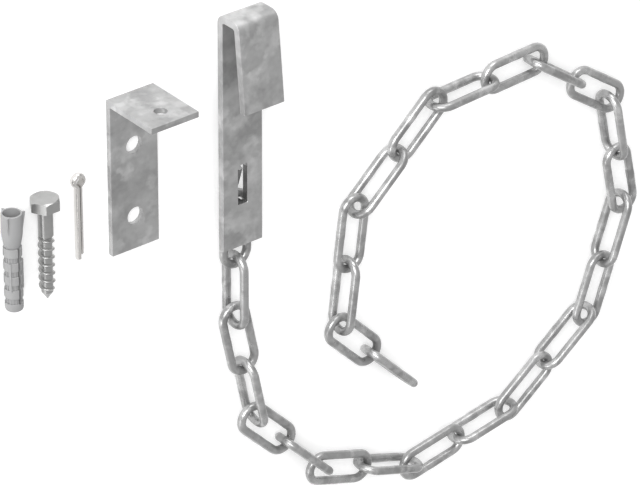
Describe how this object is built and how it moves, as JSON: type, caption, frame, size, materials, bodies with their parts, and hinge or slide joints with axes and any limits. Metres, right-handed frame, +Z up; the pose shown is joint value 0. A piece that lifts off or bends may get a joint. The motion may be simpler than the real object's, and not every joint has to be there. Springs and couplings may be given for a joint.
{
  "type": "door chain guard",
  "caption": "Door or gate chain guard kit: hook plate with a long-link chain hung on its lug, wall bracket, coach screw, wall plug and cotter pin.",
  "frame": {"origin": "centre of the bounding box, on the surface that the kit lies on", "axes": "+Z up from that surface, +Y from the chain end of the hook plate to its hook, +X across the plate towards the chain"},
  "size_m": [0.5062, 0.3986, 0.0455],
  "materials": {
    "galvanised_plate": "hot-dip galvanised flat bar with soft cloudy spangle",
    "galvanised_wire": "hot-dip galvanised round wire, satin with bright patches",
    "zinc_plated_screw": "galvanised coach screw, satin",
    "bright_steel": "bright zinc-plated steel, slightly warm",
    "grey_nylon": "moulded light grey nylon, satin"
  },
  "bodies": {
    "hook": {"hook_plate": "galvanised_plate"},
    "link_01": {"chain_link_01": "galvanised_wire"},
    "link_02": {"chain_link_02": "galvanised_wire"},
    "link_03": {"chain_link_03": "galvanised_wire"},
    "link_04": {"chain_link_04": "galvanised_wire"},
    "link_05": {"chain_link_05": "galvanised_wire"},
    "link_06": {"chain_link_06": "galvanised_wire"},
    "link_07": {"chain_link_07": "galvanised_wire"},
    "link_08": {"chain_link_08": "galvanised_wire"},
    "link_09": {"chain_link_09": "galvanised_wire"},
    "link_10": {"chain_link_10": "galvanised_wire"},
    "link_11": {"chain_link_11": "galvanised_wire"},
    "link_12": {"chain_link_12": "galvanised_wire"},
    "link_13": {"chain_link_13": "galvanised_wire"},
    "link_14": {"chain_link_14": "galvanised_wire"},
    "link_15": {"chain_link_15": "galvanised_wire"},
    "link_16": {"chain_link_16": "galvanised_wire"},
    "link_17": {"chain_link_17": "galvanised_wire"},
    "link_18": {"chain_link_18": "galvanised_wire"},
    "link_19": {"chain_link_19": "galvanised_wire"},
    "link_20": {"chain_link_20": "galvanised_wire"},
    "link_21": {"chain_link_21": "galvanised_wire"},
    "link_22": {"chain_link_22": "galvanised_wire"},
    "link_23": {"chain_link_23": "galvanised_wire"},
    "link_24": {"chain_link_24": "galvanised_wire"},
    "link_25": {"chain_link_25": "galvanised_wire"},
    "link_26": {"chain_link_26": "galvanised_wire"},
    "bracket": {"wall_bracket": "galvanised_plate"},
    "screw": {"coach_screw": "zinc_plated_screw"},
    "plug": {"wall_plug": "grey_nylon"},
    "pin": {"cotter_pin": "bright_steel"}
  },
  "joints": [
    {"name": "link_01_swing", "type": "hinge", "parent": "hook", "child": "link_01", "pos_m": [-0.08263, 0.06268, 0.0118], "axis": [0, 0, -1], "range_deg": [-20, 20]},
    {"name": "link_02_swing", "type": "hinge", "parent": "link_01", "child": "link_02", "pos_m": [-0.08263, 0.02503, 0.0118], "axis": [0, 0, 1], "range_deg": [-60, 45]},
    {"name": "link_03_swing", "type": "hinge", "parent": "link_02", "child": "link_03", "pos_m": [-0.08263, -0.02487, 0.0118], "axis": [0, 0, -1], "range_deg": [-40, 60]},
    {"name": "link_04_swing", "type": "hinge", "parent": "link_03", "child": "link_04", "pos_m": [-0.07631, -0.0546, 0.0118], "axis": [0, 0, 1], "range_deg": [-60, 30]},
    {"name": "link_05_swing", "type": "hinge", "parent": "link_04", "child": "link_05", "pos_m": [-0.06594, -0.10341, 0.0118], "axis": [0, 0, -1], "range_deg": [-20, 60]},
    {"name": "link_06_swing", "type": "hinge", "parent": "link_05", "child": "link_06", "pos_m": [-0.04503, -0.12507, 0.0118], "axis": [0, 0, 1], "range_deg": [-60, 12]},
    {"name": "link_07_swing", "type": "hinge", "parent": "link_06", "child": "link_07", "pos_m": [-0.01036, -0.16096, 0.0118], "axis": [0, 0, -1], "range_deg": [-12, 60]},
    {"name": "link_08_swing", "type": "hinge", "parent": "link_07", "child": "link_08", "pos_m": [0.01904, -0.17109, 0.0118], "axis": [0, 0, 1], "range_deg": [-60, 12]},
    {"name": "link_09_swing", "type": "hinge", "parent": "link_08", "child": "link_09", "pos_m": [0.06622, -0.18733, 0.0118], "axis": [0, 0, -1], "range_deg": [-12, 60]},
    {"name": "link_10_swing", "type": "hinge", "parent": "link_09", "child": "link_10", "pos_m": [0.09882, -0.18158, 0.0118], "axis": [0, 0, 1], "range_deg": [-60, 12]},
    {"name": "link_11_swing", "type": "hinge", "parent": "link_10", "child": "link_11", "pos_m": [0.14796, -0.17292, 0.0118], "axis": [0, 0, -1], "range_deg": [-12, 60]},
    {"name": "link_12_swing", "type": "hinge", "parent": "link_11", "child": "link_12", "pos_m": [0.1744, -0.153, 0.0118], "axis": [0, 0, 1], "range_deg": [-60, 12]},
    {"name": "link_13_swing", "type": "hinge", "parent": "link_12", "child": "link_13", "pos_m": [0.21425, -0.12297, 0.0118], "axis": [0, 0, -1], "range_deg": [-12, 60]},
    {"name": "link_14_swing", "type": "hinge", "parent": "link_13", "child": "link_14", "pos_m": [0.2247, -0.09262, 0.0118], "axis": [0, 0, 1], "range_deg": [-60, 12]},
    {"name": "link_15_swing", "type": "hinge", "parent": "link_14", "child": "link_15", "pos_m": [0.24094, -0.04544, 0.0118], "axis": [0, 0, -1], "range_deg": [-12, 60]},
    {"name": "link_16_swing", "type": "hinge", "parent": "link_15", "child": "link_16", "pos_m": [0.23427, -0.01404, 0.0118], "axis": [0, 0, 1], "range_deg": [-60, 12]},
    {"name": "link_17_swing", "type": "hinge", "parent": "link_16", "child": "link_17", "pos_m": [0.2239, 0.03477, 0.0118], "axis": [0, 0, -1], "range_deg": [-12, 60]},
    {"name": "link_18_swing", "type": "hinge", "parent": "link_17", "child": "link_18", "pos_m": [0.1976, 0.05318, 0.0118], "axis": [0, 0, 1], "range_deg": [-60, 12]},
    {"name": "link_19_swing", "type": "hinge", "parent": "link_18", "child": "link_19", "pos_m": [0.15673, 0.08181, 0.0118], "axis": [0, 0, -1], "range_deg": [-20, 45]},
    {"name": "link_20_swing", "type": "hinge", "parent": "link_19", "child": "link_20", "pos_m": [0.12367, 0.08007, 0.0118], "axis": [0, 0, 1], "range_deg": [-25, 30]},
    {"name": "link_21_swing", "type": "hinge", "parent": "link_20", "child": "link_21", "pos_m": [0.07384, 0.07746, 0.0118], "axis": [0, 0, -1], "range_deg": [-45, 25]},
    {"name": "link_22_swing", "type": "hinge", "parent": "link_21", "child": "link_22", "pos_m": [0.0485, 0.05464, 0.0118], "axis": [0, 0, 1], "range_deg": [-30, 60]},
    {"name": "link_23_swing", "type": "hinge", "parent": "link_22", "child": "link_23", "pos_m": [0.01141, 0.02125, 0.0118], "axis": [0, 0, -1], "range_deg": [-60, 30]},
    {"name": "link_24_swing", "type": "hinge", "parent": "link_23", "child": "link_24", "pos_m": [0.00738, -0.0116, 0.0118], "axis": [0, 0, 1], "range_deg": [-35, 60]},
    {"name": "link_25_swing", "type": "hinge", "parent": "link_24", "child": "link_25", "pos_m": [0.0013, -0.06113, 0.0118], "axis": [0, 0, -1], "range_deg": [-60, 50]},
    {"name": "link_26_swing", "type": "hinge", "parent": "link_25", "child": "link_26", "pos_m": [0.02499, -0.08566, 0.0118], "axis": [0, 0, 1], "range_deg": [-60, 60]},
    {"name": "bracket_lift", "type": "slide", "parent": "hook", "child": "bracket", "axis": [0, 0, 1], "range_m": [0, 0.05]},
    {"name": "screw_lift", "type": "slide", "parent": "hook", "child": "screw", "axis": [0, 0, 1], "range_m": [0, 0.05]},
    {"name": "plug_lift", "type": "slide", "parent": "hook", "child": "plug", "axis": [0, 0, 1], "range_m": [0, 0.05]},
    {"name": "pin_lift", "type": "slide", "parent": "hook", "child": "pin", "axis": [0, 0, 1], "range_m": [0, 0.05]}
  ]
}
